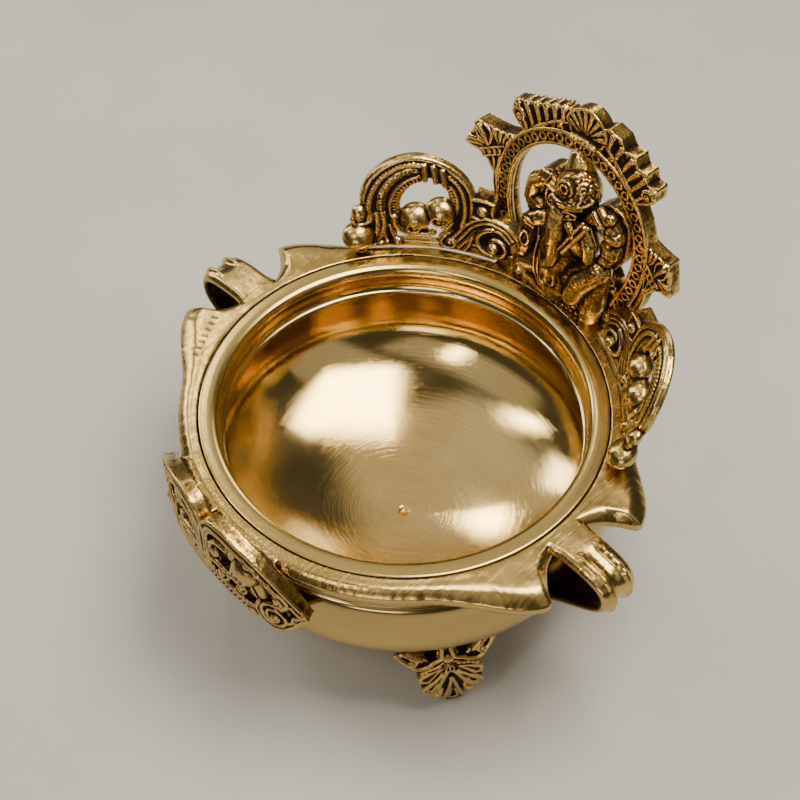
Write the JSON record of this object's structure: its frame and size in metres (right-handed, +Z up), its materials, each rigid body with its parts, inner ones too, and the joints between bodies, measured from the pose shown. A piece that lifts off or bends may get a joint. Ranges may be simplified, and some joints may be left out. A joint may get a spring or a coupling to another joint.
{
  "type": "urli bowl",
  "caption": "Footed round brass bowl with a flat cusped collar, strap handles, an openwork back panel framing a seated elephant-headed figure, a scroll apron and palmette feet.",
  "frame": {"origin": "on the resting surface, under the middle of the whole object's box", "axes": "+Z up, +X along the line of the two strap handles, +Y towards the back panel"},
  "size_m": [0.2494, 0.2158, 0.193],
  "materials": {
    "polished_brass": "polished, with fine concentric lathe lines",
    "satin_brass": "satin, hand filed",
    "antique_brass": "antique, dark in the recesses and rubbed bright on the high points"
  },
  "bodies": {
    "root": {"bowl": "polished_brass", "collar": "satin_brass", "handle_left": "satin_brass", "handle_right": "satin_brass", "arch_ring": "antique_brass", "seated_figure": "antique_brass", "finial_left": "antique_brass", "finial_right": "antique_brass", "crest": "antique_brass", "back_scroll_left": "antique_brass", "back_scroll_right": "antique_brass", "front_scroll_left": "antique_brass", "front_scroll_right": "antique_brass", "foot_front_left": "antique_brass", "foot_front_right": "antique_brass", "foot_back": "antique_brass"}
  },
  "joints": []
}
